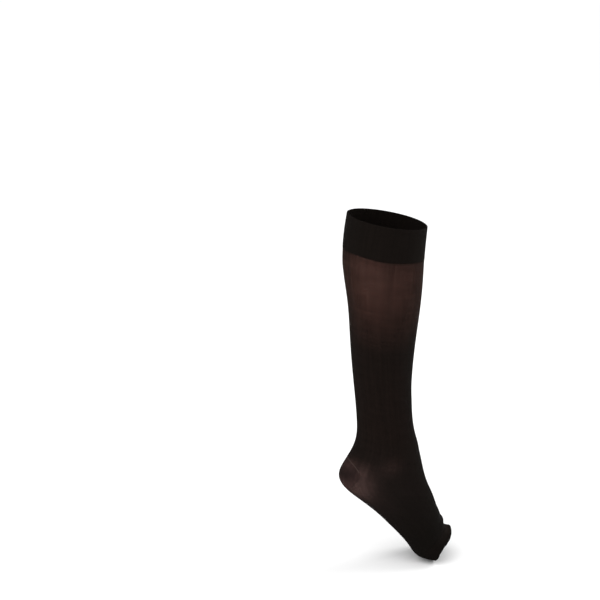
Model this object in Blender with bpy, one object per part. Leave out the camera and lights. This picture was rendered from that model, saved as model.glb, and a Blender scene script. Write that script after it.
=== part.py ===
"""Open-toe, knee-high compression stocking for a right foot, hollow and in its worn shape.

The heel is raised and the ball of the foot is down, so the leg stands upright, the foot slopes
forward and the toe opening faces ahead. +X is forward, +Y is the big-toe side and +Z is up. The
origin is the middle of the top opening, where the band grips the leg.

The form is a row of rings, one for each line of SECTIONS, with a smooth curve through each column.
Every knitted piece covers a stretch of that form with a wall, whose outside is its inside's points
moved straight out.
"""

import math
from typing import Callable, NamedTuple

import bpy
import numpy as np
from mathutils import Vector

MM = 0.001


class Knit(NamedTuple):
    """One kind of knit. Its wall stands out from the form, and is in millimetres."""

    name: str
    wall: float
    colour: tuple[float, float, float]
    roughness: float


SHEER_KNIT = Knit("sheer_knit", wall=1.2, colour=(0.020, 0.013, 0.011), roughness=0.75)
HEEL_KNIT = Knit("heel_knit", wall=1.4, colour=(0.014, 0.009, 0.008), roughness=0.75)
TOE_KNIT = Knit("toe_knit", wall=1.7, colour=(0.008, 0.006, 0.005), roughness=0.80)
BAND_KNIT = Knit("band_knit", wall=2.0, colour=(0.008, 0.006, 0.005), roughness=0.80)

SEAM_GAP = 0.3

# Columns over the front and over the heel pocket.
FRONT_COLUMNS = 26
HEEL_COLUMNS = 14

FEWEST_ROWS = 2
SHARP_EDGE = math.radians(40)

# Steps that a direction along the form is measured over: an angle, and a length in millimetres.
TURN_STEP = 0.02
STATION_STEP = 1.0

# The heel pocket is a wedge: its points lie on the heel's sides, a little above the heel's own ring,
# and it opens towards the back, up over the heel and down under it.
HEEL_POINT_TURN = math.radians(121.5)
HEEL_POINT_LIFT = 6.0
HEEL_RISE = 22.0
HEEL_DROP = 27.0
HEEL_CURVE = 0.6
HEEL_POINT_CUT = 0.2


class Section(NamedTuple):
    """One ring of the form, in millimetres.

    Front is the shin and then the top of the foot; back is the calf, the heel and then the sole.
    Lateral and medial are half breadths. Ridge and keel are how far the front and the back point
    lean to the medial side. Widest is where the ring is widest, as a share of the way back, and the
    two fullness values are 0.55 for a round quarter and more for a squarer one.
    """

    name: str
    front_x: float
    front_z: float
    back_x: float
    back_z: float
    lateral: float
    medial: float
    ridge: float
    keel: float
    widest: float
    front_full: float
    back_full: float


SECTIONS = (
    #       name           front_x  front_z  back_x   back_z   lat.   med. ridge  keel widest front  back
    Section("top_edge",      54.7,    -9.6,  -53.4,     9.0,  51.0,  53.0,  1.0,   0.0,  0.50,  0.55,  0.56),
    Section("band_end",      50.8,   -56.5,  -59.3,   -44.0,  52.0,  55.0,  2.0,   1.0,  0.54,  0.54,  0.56),
    Section("calf",          49.7,   -80.0,  -58.0,   -76.0,  51.0,  55.0,  2.0,   1.0,  0.56,  0.53,  0.56),
    Section("calf_end",      47.0,  -118.0,  -52.6,  -116.0,  47.0,  51.0,  2.5,   1.5,  0.56,  0.52,  0.56),
    Section("shin",          40.8,  -170.0,  -48.7,  -168.0,  41.0,  43.5,  2.5,   1.0,  0.54,  0.52,  0.56),
    Section("lower_shin",    35.6,  -226.0,  -44.2,  -225.0,  34.0,  35.0,  2.0,   0.0,  0.50,  0.54,  0.55),
    Section("ankle",         36.1,  -280.0,  -38.6,  -287.0,  28.0,  29.0,  1.0,   0.0,  0.47,  0.56,  0.54),
    Section("over_ankle",    42.3,  -318.0,  -41.6,  -324.0,  31.0,  31.5,  1.0,   0.0,  0.46,  0.57,  0.54),
    Section("ankle_bones",   49.3,  -346.0,  -54.8,  -350.0,  34.0,  33.5,  1.0,   0.0,  0.46,  0.56,  0.56),
    Section("heel",          54.4,  -369.0,  -63.3,  -372.3,  33.5,  33.0,  1.5,   0.0,  0.50,  0.55,  0.58),
    Section("heel_under",    58.9,  -383.0,  -55.2,  -387.7,  32.5,  32.0,  2.0,   0.0,  0.54,  0.55,  0.60),
    Section("heel_front",    63.6,  -394.0,  -35.7,  -403.3,  32.0,  32.0,  3.0,  -2.0,  0.56,  0.55,  0.62),
    Section("arch",          68.8,  -407.0,   -9.6,  -422.9,  32.0,  33.0,  4.0,  -5.0,  0.58,  0.56,  0.64),
    Section("waist",         73.2,  -420.0,   14.3,  -444.4,  35.0,  36.0,  5.0,  -7.0,  0.58,  0.57,  0.66),
    Section("ball_back",     78.0,  -432.5,   34.3,  -468.6,  39.0,  41.0,  6.0,  -5.0,  0.56,  0.58,  0.70),
    Section("ball",          83.6,  -449.6,   46.3,  -483.2,  41.0,  43.0,  7.0,  -1.0,  0.55,  0.60,  0.74),
    Section("toe_edge",      94.5,  -454.6,   69.0,  -490.4,  40.0,  42.0,  7.0,   0.0,  0.54,  0.62,  0.74),
)


def natural_bends(knots: np.ndarray, values: np.ndarray) -> np.ndarray:
    """Second derivatives at the knots of the natural cubic spline through the values."""
    gaps = np.diff(knots)
    slopes = np.diff(values, axis=0) / gaps[:, None]
    system = np.eye(len(knots))
    right = np.zeros_like(values)
    for i in range(1, len(knots) - 1):
        system[i, i - 1 : i + 2] = gaps[i - 1], 2 * (gaps[i - 1] + gaps[i]), gaps[i]
        right[i] = 6 * (slopes[i] - slopes[i - 1])
    return np.linalg.solve(system, right)


def cubic(ends: tuple[float, float], handles: tuple[float, float], t: float) -> float:
    """A Bezier curve's value at t, from its two ends and its two handles."""
    s = 1 - t
    return s**3 * ends[0] + 3 * s * s * t * handles[0] + 3 * s * t * t * handles[1] + t**3 * ends[1]


class Form:
    """The smooth surface inside the cloth.

    A turn is an angle round the leg: 0 at the front, positive towards the lateral side, pi at the
    back. A station is a length down the line of the rings' middles, 0 at the top edge.
    """

    def __init__(self, sections: tuple[Section, ...]) -> None:
        self.table = np.array([row[1:] for row in sections])
        middles = (self.table[:, 0:2] + self.table[:, 2:4]) / 2
        steps = np.linalg.norm(np.diff(middles, axis=0), axis=1)
        self.stations = np.concatenate([[0.0], np.cumsum(steps)])
        self.bends = natural_bends(self.stations, self.table)
        self.names = [row.name for row in sections]

    def station_of(self, name: str) -> float:
        """The station of a named section."""
        return float(self.stations[self.names.index(name)])

    def section_at(self, station: float) -> Section:
        """The ring at any station, between the named ones."""
        last = len(self.stations) - 2
        i = min(max(int(np.searchsorted(self.stations, station)) - 1, 0), last)
        gap = self.stations[i + 1] - self.stations[i]
        b = (station - self.stations[i]) / gap
        a = 1 - b
        row = a * self.table[i] + b * self.table[i + 1]
        row += ((a**3 - a) * self.bends[i] + (b**3 - b) * self.bends[i + 1]) * gap**2 / 6
        return Section("between", *row)

    def point(self, turn: float, station: float) -> Vector:
        """A point of the form, in millimetres."""
        ring = self.section_at(station)
        turn = (turn + math.pi) % (2 * math.pi) - math.pi
        breadth = -ring.lateral if turn > 0 else ring.medial
        quarter = abs(turn) / (math.pi / 2)
        if quarter <= 1:
            ends, full, t = (0.0, ring.widest), ring.front_full, quarter
            back = cubic(ends, (0.0, ring.widest * (1 - full)), t)
            side = cubic((ring.ridge, breadth), (ring.ridge + full * (breadth - ring.ridge), breadth), t)
        else:
            ends, full, t = (ring.widest, 1.0), ring.back_full, quarter - 1
            back = cubic(ends, (ring.widest + full * (1 - ring.widest), 1.0), t)
            side = cubic((breadth, ring.keel), (breadth, ring.keel + full * (breadth - ring.keel)), t)
        x = ring.front_x + back * (ring.back_x - ring.front_x)
        z = ring.front_z + back * (ring.back_z - ring.front_z)
        return Vector((x, side, z))

    def normal(self, turn: float, station: float) -> Vector:
        """The direction straight out of the form."""
        half = TURN_STEP / 2
        round_the_leg = self.point(turn + half, station) - self.point(turn - half, station)
        return round_the_leg.cross(self.down_the_cloth(turn, station)).normalized()

    def down_the_cloth(self, turn: float, station: float) -> Vector:
        """How far the form's point moves as its station goes on by one step."""
        half = STATION_STEP / 2
        return self.point(turn, station + half) - self.point(turn, station - half)

    def stations_along(self, turn: float, station: float, length: float) -> float:
        """How much further down a station lies that is this length away along the cloth."""
        return length * STATION_STEP / self.down_the_cloth(turn, station).length


# The station of a seam at each turn.
Seam = Callable[[float], float]

FORM = Form(SECTIONS)
BAND_SEAM = FORM.station_of("band_end")
HEEL_SEAM = FORM.station_of("heel") - HEEL_POINT_LIFT
TOE_SEAM = FORM.station_of("ball")
TOE_EDGE = FORM.station_of("toe_edge")


def spread(first: float, last: float, steps: int) -> list[float]:
    """Evenly spaced turns from first to last."""
    return [first + (last - first) * i / steps for i in range(steps + 1)]


FRONT_TURNS = spread(-HEEL_POINT_TURN, HEEL_POINT_TURN, FRONT_COLUMNS)
HEEL_TURNS = spread(HEEL_POINT_TURN, 2 * math.pi - HEEL_POINT_TURN, HEEL_COLUMNS)
TUBE_TURNS = FRONT_TURNS + HEEL_TURNS[1:-1]


def heel_width(turn: float) -> float:
    """How wide open the heel pocket is at a column: 0 at its points, 1 at the back."""
    depth = (1 + math.cos(turn)) / (1 + math.cos(HEEL_POINT_TURN))
    return max(0.0, 1 - depth) ** HEEL_CURVE


HEEL_WIDTHS = [heel_width(turn) for turn in HEEL_TURNS]


def heel_opening(turn: float) -> float:
    """How wide open the heel pocket is at any turn, straight between its columns."""
    return float(np.interp(turn % (2 * math.pi), HEEL_TURNS, HEEL_WIDTHS, left=0.0, right=0.0))


def leg_end(turn: float) -> float:
    """The station where the leg ends, raised over the heel pocket."""
    return HEEL_SEAM - HEEL_RISE * heel_opening(turn)


def foot_start(turn: float) -> float:
    """The station where the foot starts, lowered under the heel pocket."""
    return HEEL_SEAM + HEEL_DROP * heel_opening(turn)


def at(station: float) -> Seam:
    """A seam that is the same station all round."""
    return lambda turn: station


def moved(seam: Seam, length: float) -> Seam:
    """A seam moved down the cloth by a length, or up it for a length below 0."""
    return lambda turn: seam(turn) + FORM.stations_along(turn, seam(turn), length)


def above(seam: Seam) -> Seam:
    """Where the piece above a seam ends."""
    return moved(seam, -SEAM_GAP / 2)


def below(seam: Seam) -> Seam:
    """Where the piece below a seam starts."""
    return moved(seam, SEAM_GAP / 2)


def pocket_turns() -> list[float]:
    """The heel pocket's columns, cut short just inside its points, where it still has some width."""
    cut = HEEL_POINT_CUT * (HEEL_TURNS[1] - HEEL_TURNS[0])
    return [HEEL_TURNS[0] + cut, *HEEL_TURNS[1:-1], HEEL_TURNS[-1] - cut]


class Piece(NamedTuple):
    """One knitted piece.

    Turns are its columns round the leg, start and end are its upper and lower seam, and no row of its
    faces is longer than longest_row, in millimetres.
    """

    name: str
    turns: list[float]
    start: Seam
    end: Seam
    longest_row: float
    knit: Knit


PIECES = (
    Piece("top_band", TUBE_TURNS, at(0.0), above(at(BAND_SEAM)), 13.0, BAND_KNIT),
    Piece("leg", TUBE_TURNS, below(at(BAND_SEAM)), above(leg_end), 12.0, SHEER_KNIT),
    Piece("heel_pocket", pocket_turns(), below(leg_end), above(foot_start), 8.0, HEEL_KNIT),
    Piece("foot", TUBE_TURNS, below(foot_start), above(at(TOE_SEAM)), 10.0, SHEER_KNIT),
    Piece("toe_band", TUBE_TURNS, below(at(TOE_SEAM)), at(TOE_EDGE), 7.0, TOE_KNIT),
)


def fabric(knit: Knit) -> bpy.types.Material:
    """A plain material for one kind of knit."""
    material = bpy.data.materials.new(knit.name)
    material.use_nodes = True
    surface = material.node_tree.nodes["Principled BSDF"]
    surface.inputs["Base Color"].default_value = (*knit.colour, 1.0)
    surface.inputs["Roughness"].default_value = knit.roughness
    surface.inputs["Metallic"].default_value = 0.0
    material.diffuse_color = (*knit.colour, 1.0)
    return material


def wall_faces(rows: int, across: int, tube: bool) -> list[tuple[int, ...]]:
    """The faces of a wall whose inner points come first, row by row, and then its outer points."""
    outer = (rows + 1) * across
    faces = []
    for row in range(rows):
        for column in range(across if tube else across - 1):
            right = (column + 1) % across
            corners = (row * across + column, row * across + right)
            corners += ((row + 1) * across + right, (row + 1) * across + column)
            faces.append(tuple(reversed(corners)))
            faces.append(tuple(corner + outer for corner in corners))
    last = rows * across
    for column in range(across if tube else across - 1):
        right = (column + 1) % across
        faces.append((column, right, right + outer, column + outer))
        faces.append((last + right, last + column, last + column + outer, last + right + outer))
    if not tube:
        for row in range(rows):
            first, below = row * across, (row + 1) * across
            faces.append((below, first, first + outer, below + outer))
            first, below = first + across - 1, below + across - 1
            faces.append((first, below, below + outer, first + outer))
    return faces


def knit_piece(piece: Piece, parent: bpy.types.Object) -> bpy.types.Object:
    """Makes a piece as a wall over the form between its two seams.

    Args:
        piece: what to make.
        parent: the empty that carries the stocking.

    Returns:
        The new object.
    """
    longest = max(piece.end(turn) - piece.start(turn) for turn in piece.turns)
    rows = max(FEWEST_ROWS, math.ceil(longest / piece.longest_row))
    inner = []
    outer = []
    for row in range(rows + 1):
        share = row / rows
        for turn in piece.turns:
            station = (1 - share) * piece.start(turn) + share * piece.end(turn)
            point = FORM.point(turn, station)
            inner.append(point * MM)
            outer.append((point + piece.knit.wall * FORM.normal(turn, station)) * MM)
    mesh = bpy.data.meshes.new(piece.name)
    faces = wall_faces(rows, len(piece.turns), tube=piece.turns is TUBE_TURNS)
    mesh.from_pydata(inner + outer, [], faces)
    mesh.shade_smooth()
    mesh.set_sharp_from_angle(angle=SHARP_EDGE)
    mesh.materials.append(fabric(piece.knit))
    made = bpy.data.objects.new(piece.name, mesh)
    bpy.context.scene.collection.objects.link(made)
    made.parent = parent
    return made


def clear_scene() -> None:
    """Empties the scene."""
    for old in list(bpy.data.objects):
        bpy.data.objects.remove(old, do_unlink=True)


def main() -> None:
    """Builds the stocking's five knitted pieces."""
    clear_scene()
    stocking = bpy.data.objects.new("stocking", None)
    bpy.context.scene.collection.objects.link(stocking)
    for piece in PIECES:
        knit_piece(piece, stocking)


main()
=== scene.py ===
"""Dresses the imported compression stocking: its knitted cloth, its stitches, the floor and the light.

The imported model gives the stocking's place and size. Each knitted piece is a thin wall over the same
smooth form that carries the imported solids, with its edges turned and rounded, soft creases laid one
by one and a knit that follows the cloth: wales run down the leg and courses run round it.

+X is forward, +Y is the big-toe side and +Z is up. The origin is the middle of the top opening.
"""

import logging
import math
from dataclasses import dataclass, field, replace
from enum import Enum
from typing import ClassVar, NamedTuple, Sequence

import bpy
import numpy as np
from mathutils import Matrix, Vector

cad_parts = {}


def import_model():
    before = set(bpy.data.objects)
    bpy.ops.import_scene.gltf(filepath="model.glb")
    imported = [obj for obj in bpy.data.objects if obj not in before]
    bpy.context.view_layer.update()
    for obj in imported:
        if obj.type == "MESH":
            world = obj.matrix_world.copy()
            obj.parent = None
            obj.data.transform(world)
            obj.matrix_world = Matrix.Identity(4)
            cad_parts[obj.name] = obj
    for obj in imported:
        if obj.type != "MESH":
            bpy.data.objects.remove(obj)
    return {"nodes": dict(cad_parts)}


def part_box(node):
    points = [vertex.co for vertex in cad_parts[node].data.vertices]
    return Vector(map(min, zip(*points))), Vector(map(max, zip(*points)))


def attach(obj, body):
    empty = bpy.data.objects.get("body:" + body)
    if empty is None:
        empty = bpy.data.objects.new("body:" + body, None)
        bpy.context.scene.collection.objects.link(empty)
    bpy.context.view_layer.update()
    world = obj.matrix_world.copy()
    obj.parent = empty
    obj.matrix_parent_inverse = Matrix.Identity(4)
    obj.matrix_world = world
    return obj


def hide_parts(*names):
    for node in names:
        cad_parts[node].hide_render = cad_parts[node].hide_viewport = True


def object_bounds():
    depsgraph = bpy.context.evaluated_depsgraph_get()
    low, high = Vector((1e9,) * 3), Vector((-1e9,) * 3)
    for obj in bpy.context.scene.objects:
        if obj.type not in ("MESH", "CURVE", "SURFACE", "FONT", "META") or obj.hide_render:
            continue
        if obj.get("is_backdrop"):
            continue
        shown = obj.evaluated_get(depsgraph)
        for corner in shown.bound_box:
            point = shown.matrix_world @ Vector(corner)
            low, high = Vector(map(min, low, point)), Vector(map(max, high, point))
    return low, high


log = logging.getLogger("stocking")

MM = 0.001
FULL_TURN = 2 * math.pi
BODY = "root"

KNIT_MAP = "knit"
# The knit's sheerness, which also carries painted shade and painted highlights into its colour.
SHEERNESS = "sheerness"
OUTWARDS = "outwards"

# The cloth's faces are shaded smooth up to this angle between them.
SHARP_EDGE = math.radians(50)

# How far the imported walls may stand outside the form, and how far the form may lie off, in
# millimetres, before the script stops.
THICKEST_WALL = 2.0
FRAME_TOLERANCE = 0.5

Array = np.ndarray
Colour = tuple[float, float, float]
Socket = bpy.types.NodeSocket
Value = Socket | float | str | Sequence[float] | bpy.types.Material
Inputs = dict[str | int, Value]


def new_object(name: str, data: bpy.types.ID) -> bpy.types.Object:
    """Adds an object to the scene, at the origin.

    Args:
        name: its name.
        data: its mesh, camera or lamp.

    Returns:
        The new object.
    """
    made = bpy.data.objects.new(name, data)
    bpy.context.scene.collection.objects.link(made)
    return made


# ------------------------------------------------------------------------------------------ the form


class Section(NamedTuple):
    """One ring of the form, in millimetres.

    Front is the shin and then the top of the foot; back is the calf, the heel and then the sole.
    Lateral and medial are half breadths. Ridge and keel are how far the front and the back point
    lean to the medial side. Widest is where the ring is widest, as a share of the way back, and the
    two fullness values are 0.55 for a round quarter and more for a squarer one.
    """

    name: str
    front_x: float
    front_z: float
    back_x: float
    back_z: float
    lateral: float
    medial: float
    ridge: float
    keel: float
    widest: float
    front_full: float
    back_full: float


SECTIONS = (
    #       name           front_x  front_z  back_x   back_z   lat.   med. ridge  keel widest front  back
    Section("top_edge",      54.7,    -9.6,  -53.4,     9.0,  51.0,  53.0,  1.0,   0.0,  0.50,  0.55,  0.56),
    Section("band_end",      50.8,   -56.5,  -59.3,   -44.0,  52.0,  55.0,  2.0,   1.0,  0.54,  0.54,  0.56),
    Section("calf",          49.7,   -80.0,  -58.0,   -76.0,  51.0,  55.0,  2.0,   1.0,  0.56,  0.53,  0.56),
    Section("calf_end",      47.0,  -118.0,  -52.6,  -116.0,  47.0,  51.0,  2.5,   1.5,  0.56,  0.52,  0.56),
    Section("shin",          40.8,  -170.0,  -48.7,  -168.0,  41.0,  43.5,  2.5,   1.0,  0.54,  0.52,  0.56),
    Section("lower_shin",    35.6,  -226.0,  -44.2,  -225.0,  34.0,  35.0,  2.0,   0.0,  0.50,  0.54,  0.55),
    Section("ankle",         36.1,  -280.0,  -38.6,  -287.0,  28.0,  29.0,  1.0,   0.0,  0.47,  0.56,  0.54),
    Section("over_ankle",    42.3,  -318.0,  -41.6,  -324.0,  31.0,  31.5,  1.0,   0.0,  0.46,  0.57,  0.54),
    Section("ankle_bones",   49.3,  -346.0,  -54.8,  -350.0,  34.0,  33.5,  1.0,   0.0,  0.46,  0.56,  0.56),
    Section("heel",          54.4,  -369.0,  -63.3,  -372.3,  33.5,  33.0,  1.5,   0.0,  0.50,  0.55,  0.58),
    Section("heel_under",    58.9,  -383.0,  -55.2,  -387.7,  32.5,  32.0,  2.0,   0.0,  0.54,  0.55,  0.60),
    Section("heel_front",    63.6,  -394.0,  -35.7,  -403.3,  32.0,  32.0,  3.0,  -2.0,  0.56,  0.55,  0.62),
    Section("arch",          68.8,  -407.0,   -9.6,  -422.9,  32.0,  33.0,  4.0,  -5.0,  0.58,  0.56,  0.64),
    Section("waist",         73.2,  -420.0,   14.3,  -444.4,  35.0,  36.0,  5.0,  -7.0,  0.58,  0.57,  0.66),
    Section("ball_back",     78.0,  -432.5,   34.3,  -468.6,  39.0,  41.0,  6.0,  -5.0,  0.56,  0.58,  0.70),
    Section("ball",          83.6,  -449.6,   46.3,  -483.2,  41.0,  43.0,  7.0,  -1.0,  0.55,  0.60,  0.74),
    Section("toe_edge",      94.5,  -454.6,   69.0,  -490.4,  40.0,  42.0,  7.0,   0.0,  0.54,  0.62,  0.74),
)


def natural_bends(knots: Array, values: Array) -> Array:
    """Works out a natural cubic spline.

    Args:
        knots: where its values stand.
        values: its values at the knots, one row for each.

    Returns:
        The second derivatives at the knots.
    """
    gaps = np.diff(knots)
    slopes = np.diff(values, axis=0) / gaps[:, None]
    system = np.eye(len(knots))
    right = np.zeros_like(values)
    for i in range(1, len(knots) - 1):
        system[i, i - 1 : i + 2] = gaps[i - 1], 2 * (gaps[i - 1] + gaps[i]), gaps[i]
        right[i] = 6 * (slopes[i] - slopes[i - 1])
    return np.linalg.solve(system, right)


def cubic(start: Array, handle_a: Array, handle_b: Array, end: Array, t: Array) -> Array:
    """Bezier curves' values at t, from their ends and their handles."""
    s = 1 - t
    return s**3 * start + 3 * s * s * t * handle_a + 3 * s * t * t * handle_b + t**3 * end


def wrapped(turns: Array) -> Array:
    """The same turns between -pi and pi."""
    return (np.asarray(turns, float) + math.pi) % FULL_TURN - math.pi


def smooth(values: Array, low: float, high: float) -> Array:
    """0 up to low, 1 from high on, and a smooth step between."""
    share = np.clip((np.asarray(values, float) - low) / (high - low), 0.0, 1.0)
    return share * share * (3 - 2 * share)


@dataclass(frozen=True)
class Ripple:
    """A shift that changes round the leg.

    Its knots are pairs of a turn in degrees and a shift in millimetres, in order of their turns, and
    it runs smoothly from each knot to the next, all the way round.
    """

    knots: tuple[tuple[float, float], ...]

    def at(self, turns: Array) -> Array:
        """Reads the shift off at any turns.

        Args:
            turns: the turns.

        Returns:
            The shifts, in millimetres.
        """
        angles = np.radians([turn for turn, _ in self.knots])
        shifts = np.array([shift for _, shift in self.knots])
        turns = (turns - angles[0]) % FULL_TURN + angles[0]
        i = np.searchsorted(angles, turns, side="right") - 1
        after = (i + 1) % len(angles)
        end = angles[after] + np.where(after == 0, FULL_TURN, 0.0)
        return shifts[i] + (shifts[after] - shifts[i]) * smooth(turns, angles[i], end)


class Form:
    """The smooth surface inside the cloth, in millimetres.

    A turn is an angle round the leg: 0 at the front, positive towards the lateral side, pi at the
    back. A station is a length down the line of the rings' middles, 0 at the top edge.
    """

    TURN_STEP = 0.02
    STATION_STEP = 1.0
    GIRTH_POINTS = 181

    def __init__(self, sections: Sequence[Section]) -> None:
        """Lays a smooth line through the sections, in order from the top edge to the toe edge."""
        self.names = [row.name for row in sections]
        self.table = np.array([row[1:] for row in sections])
        middles = (self.table[:, 0:2] + self.table[:, 2:4]) / 2
        steps = np.linalg.norm(np.diff(middles, axis=0), axis=1)
        self.stations = np.concatenate([[0.0], np.cumsum(steps)])
        self.bends = natural_bends(self.stations, self.table)

    def station_of(self, name: str) -> float:
        """The station of a named section."""
        return float(self.stations[self.names.index(name)])

    def rings(self, stations: Array) -> Array:
        """Reads the sections' values off at any stations.

        Args:
            stations: the stations.

        Returns:
            The values, with the sections' columns as the first axis.
        """
        last = len(self.stations) - 2
        i = np.clip(np.searchsorted(self.stations, stations) - 1, 0, last)
        gap = (self.stations[i + 1] - self.stations[i])[..., None]
        b = (stations[..., None] - self.stations[i][..., None]) / gap
        a = 1 - b
        bow = ((a**3 - a) * self.bends[i] + (b**3 - b) * self.bends[i + 1]) * gap**2 / 6
        return np.moveaxis(a * self.table[i] + b * self.table[i + 1] + bow, -1, 0)

    def points(self, turns: Array, stations: Array) -> Array:
        """Points of the form.

        Args:
            turns: the turns.
            stations: the stations, of the same shape.

        Returns:
            The points, with x, y and z as the last axis.
        """
        front_x, front_z, back_x, back_z, lateral, medial, *lean_and_fullness = self.rings(stations)
        ridge, keel, widest, front_full, back_full = lean_and_fullness
        turns = wrapped(turns)
        breadth = np.where(turns > 0, -lateral, medial)
        quarter = np.abs(turns) / (math.pi / 2)
        t = np.where(quarter <= 1, quarter, quarter - 1)
        front_side = cubic(ridge, ridge + front_full * (breadth - ridge), breadth, breadth, t)
        back_side = cubic(breadth, breadth, keel + back_full * (breadth - keel), keel, t)
        front_way = cubic(0.0, 0.0, widest * (1 - front_full), widest, t)
        back_way = cubic(widest, widest + back_full * (1 - widest), 1.0, 1.0, t)
        side = np.where(quarter <= 1, front_side, back_side)
        way = np.where(quarter <= 1, front_way, back_way)
        x = front_x + way * (back_x - front_x)
        z = front_z + way * (back_z - front_z)
        return np.stack([x, side, z], axis=-1)

    def down(self, turns: Array, stations: Array) -> Array:
        """How the form's points move as their stations go on by one millimetre."""
        half = self.STATION_STEP / 2
        return (self.points(turns, stations + half) - self.points(turns, stations - half)) / self.STATION_STEP

    def normals(self, turns: Array, stations: Array) -> Array:
        """Works out the directions straight out of the form.

        Args:
            turns: the turns.
            stations: the stations, of the same shape.

        Returns:
            The directions, with x, y and z as the last axis.
        """
        half = self.TURN_STEP / 2
        across = self.points(turns + half, stations) - self.points(turns - half, stations)
        out = np.cross(across, self.down(turns, stations))
        return out / np.linalg.norm(out, axis=-1, keepdims=True)

    def girth(self, station: float) -> float:
        """Measures the length round the form.

        Args:
            station: where it is measured.

        Returns:
            The girth, in millimetres.
        """
        turns = np.linspace(-math.pi, math.pi, self.GIRTH_POINTS)
        ring = self.points(turns, np.full_like(turns, station))
        return float(np.linalg.norm(np.diff(ring, axis=0), axis=1).sum())

    def step_along(self, turns: Array, stations: Array, length: float) -> Array:
        """How much further down the stations lie that are this length away along the cloth."""
        return length / np.linalg.norm(self.down(turns, stations), axis=-1)


class HeelWedge:
    """Where the heel pocket parts the leg from the foot.

    Its points lie on the heel's sides, a little above the heel's own ring, and it opens towards the
    back, up over the heel and down under it.
    """

    POINT_TURN = math.radians(121.5)
    POINT_LIFT = 6.0
    RISE = 22.0
    DROP = 27.0
    CURVE = 0.6

    def __init__(self, form: Form) -> None:
        """Finds the station of the wedge's two points."""
        self.seam = form.station_of("heel") - self.POINT_LIFT

    def opening(self, turns: Array) -> Array:
        """How wide open the wedge is: 0 at its points and in front of them, 1 at the back."""
        depth = (1 + np.cos(turns)) / (1 + math.cos(self.POINT_TURN))
        return np.clip(1 - depth, 0.0, 1.0) ** self.CURVE

    def upper(self, turns: Array) -> Array:
        """The stations of the leg's end."""
        return self.seam - self.RISE * self.opening(turns)

    def lower(self, turns: Array) -> Array:
        """The stations of the foot's start."""
        return self.seam + self.DROP * self.opening(turns)


# ---------------------------------------------------------------------------------------- the cloth


@dataclass(frozen=True)
class Crease:
    """A soft trough in the cloth, or a ridge where its height is above 0.

    Turn and slant are in degrees, the rest in millimetres. With no slant it runs round the leg.
    """

    turn: float
    station: float
    length: float
    width: float
    height: float
    slant: float = 0.0

    def relief(self, turns: Array, stations: Array, radius: Array) -> Array:
        """How far it moves the cloth out at each point.

        Args:
            turns: the points' turns.
            stations: the points' stations.
            radius: the girth over a full turn's radians at each point, in millimetres.

        Returns:
            The offsets, in millimetres.
        """
        across = wrapped(turns - math.radians(self.turn)) * radius
        down = stations - self.station
        slant = math.radians(self.slant)
        along = across * math.cos(slant) + down * math.sin(slant)
        aside = down * math.cos(slant) - across * math.sin(slant)
        taper = 1 - smooth(np.abs(along), 0.2 * self.length, 0.5 * self.length)
        return self.height * taper * np.exp(-((aside / self.width) ** 2))


class Zone(NamedTuple):
    """How sheer the knit is round one station, from 0 for close to 1 for the sheerest.

    Front, side, rear and back are at the turns of Sheerness.TURNS, on both sides of the leg. Their
    differences paint shade as well: lower front and back values darken the knit towards the edges
    that the lateral view sees.
    """

    station: float
    front: float
    side: float
    rear: float
    back: float


@dataclass(frozen=True)
class Spot:
    """A soft spot of sheerer, lighter knit, for knit drawn thinner over what is under it and for a
    painted highlight. Turns are in degrees.
    """

    turn: float
    station: float
    width: float
    length: float
    sheerness: float

    def at(self, turns: Array, stations: Array) -> Array:
        """Works out the sheerness that it adds.

        Args:
            turns: the points' turns.
            stations: the points' stations.

        Returns:
            The sheerness at each point.
        """
        across = wrapped(turns - math.radians(self.turn)) / math.radians(self.width)
        down = (stations - self.station) / self.length
        return self.sheerness * np.exp(-(across**2) - down**2)


@dataclass
class Sheerness:
    """How sheer the knit is over the whole stocking, with painted shade and painted highlights in the
    same values: zones along it, and spots on them.
    """

    zones: tuple[Zone, ...]
    spots: tuple[Spot, ...]

    TURNS = tuple(math.radians(turn) for turn in (0, 72, 110, 160))

    def at(self, turns: Array, stations: Array) -> Array:
        """Adds up the zones and the spots.

        Args:
            turns: the points' turns.
            stations: the points' stations.

        Returns:
            The sheerness at each point, from 0 to 1.
        """
        knots, *columns = zip(*self.zones)
        shares = [np.interp(stations, knots, column) for column in columns]
        total = shares[0]
        for i, turn in enumerate(self.TURNS[1:]):
            step = smooth(np.abs(wrapped(turns)), self.TURNS[i], turn)
            total = total + (shares[i + 1] - shares[i]) * step
        for spot in self.spots:
            total = total + spot.at(turns, stations)
        return np.clip(total, 0.0, 1.0)


@dataclass
class Wall:
    """Cloth over the form, as rows of columns of points, in millimetres.

    Each of its two faces has its points' stations, and their heights out of the form.
    """

    turns: Array
    outer_stations: Array
    outer_heights: Array
    inner_stations: Array
    inner_heights: Array

    @classmethod
    def between(cls, turns: Array, stations: Array, inner: Array | float, outer: Array | float) -> "Wall":
        """The wall between two heights over the same stations."""
        level = np.zeros_like(stations)
        return cls(np.broadcast_to(turns, stations.shape), stations, level + outer, stations, level + inner)


def rounding(depths: Array, radius: float) -> Array:
    """How far a round edge falls back from a wall's face at each depth in from the edge."""
    in_round = np.clip(depths / radius, 0.0, 1.0)
    return radius * (1 - np.sqrt(1 - (1 - in_round) ** 2))


# A strip that is narrower than its close rows' reach times this has them drawn together.
NARROW_STRIP = 2.1


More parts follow.
